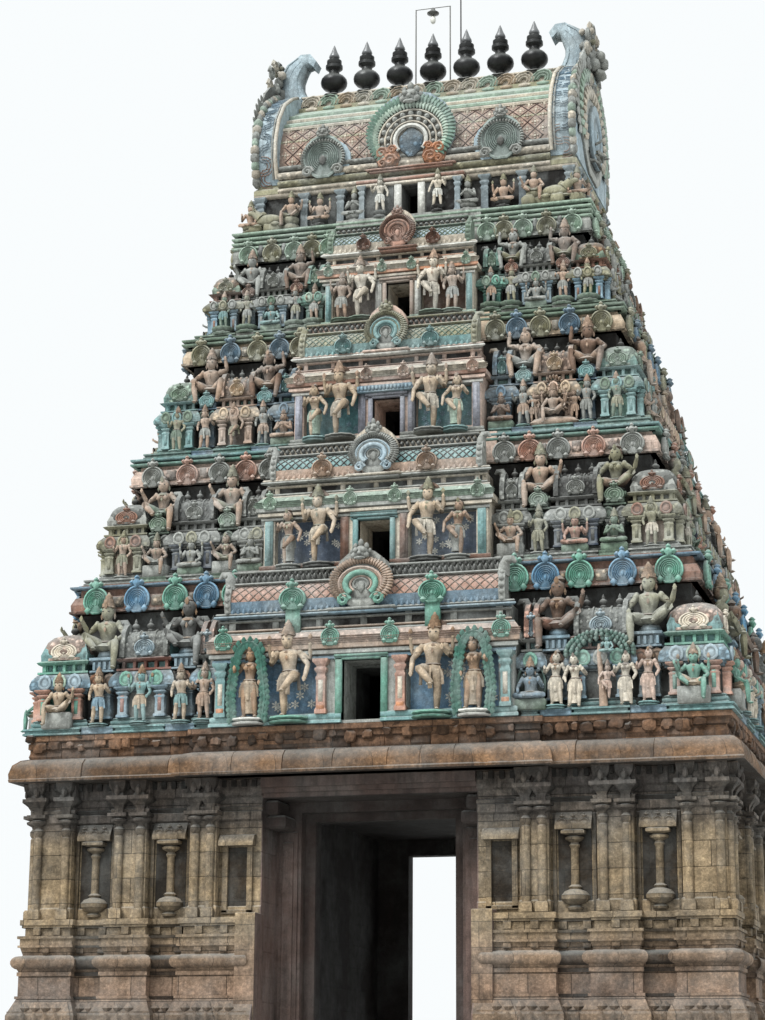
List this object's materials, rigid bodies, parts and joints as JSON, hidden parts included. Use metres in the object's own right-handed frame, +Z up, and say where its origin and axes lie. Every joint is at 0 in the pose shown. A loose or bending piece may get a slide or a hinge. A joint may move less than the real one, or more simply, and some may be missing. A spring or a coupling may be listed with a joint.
{
  "type": "gopuram",
  "caption": "South Indian temple gateway tower: weathered stone gate storey with a passage, tapering painted plaster tiers with shrine rows and doorways, and a barrel roof with finials.",
  "frame": {"origin": "middle of the tower's base, on the ground under the centre of the passage", "axes": "+Z up; +X to the right when facing the front; the front face with the main gate looks towards -Y"},
  "size_m": [13.82, 10.52, 25.36],
  "materials": {
    "granite": "weathered granite blocks with soot and yellow-grey wash",
    "sooty_granite": "granite blackened by soot",
    "painted_plaster": "faded paint on lime plaster over brick",
    "turquoise_plaster": "faded turquoise paint on lime plaster",
    "salmon_plaster": "faded pink and cream paint on lime plaster",
    "blue_plaster": "faded blue paint on lime plaster",
    "terracotta_plaster": "faded red-brown paint on a diamond lattice in plaster",
    "dark_metal": "blackened sheet metal with worn grey tips",
    "grey_metal": "dull grey painted steel"
  },
  "bodies": {
    "root": {"plinth_left": "granite", "stone_wall_left": "granite", "plinth_right": "granite", "stone_wall_right": "granite", "gate_frame_front": "granite", "gate_frame_back": "granite", "passage_ceiling": "granite", "stone_cornice": "granite", "stone_frieze": "sooty_granite", "tier1_walls": "painted_plaster", "tier1_shrines_left": "turquoise_plaster", "tier1_shrines_right": "turquoise_plaster", "tier1_bay_front": "salmon_plaster", "tier1_bay_back": "salmon_plaster", "tier1_eave": "blue_plaster", "tier2_walls": "painted_plaster", "tier2_shrines_left": "turquoise_plaster", "tier2_shrines_right": "turquoise_plaster", "tier2_bay_front": "salmon_plaster", "tier2_bay_back": "salmon_plaster", "tier2_eave": "blue_plaster", "tier3_walls": "painted_plaster", "tier3_shrines_left": "turquoise_plaster", "tier3_shrines_right": "turquoise_plaster", "tier3_bay_front": "salmon_plaster", "tier3_bay_back": "salmon_plaster", "tier3_eave": "blue_plaster", "tier4_walls": "painted_plaster", "tier4_shrines_left": "turquoise_plaster", "tier4_shrines_right": "turquoise_plaster", "tier4_bay_front": "salmon_plaster", "tier4_bay_back": "salmon_plaster", "tier4_eave": "blue_plaster", "tier5_walls": "painted_plaster", "roof_vault": "terracotta_plaster", "gable_left": "blue_plaster", "gable_right": "blue_plaster", "roof_nasi_front": "turquoise_plaster", "roof_nasi_back": "turquoise_plaster", "finial_1": "dark_metal", "finial_2": "dark_metal", "finial_3": "dark_metal", "finial_4": "dark_metal", "finial_5": "dark_metal", "finial_6": "dark_metal", "finial_7": "dark_metal", "lamp_frame": "grey_metal", "lightning_rod": "grey_metal"}
  },
  "joints": []
}
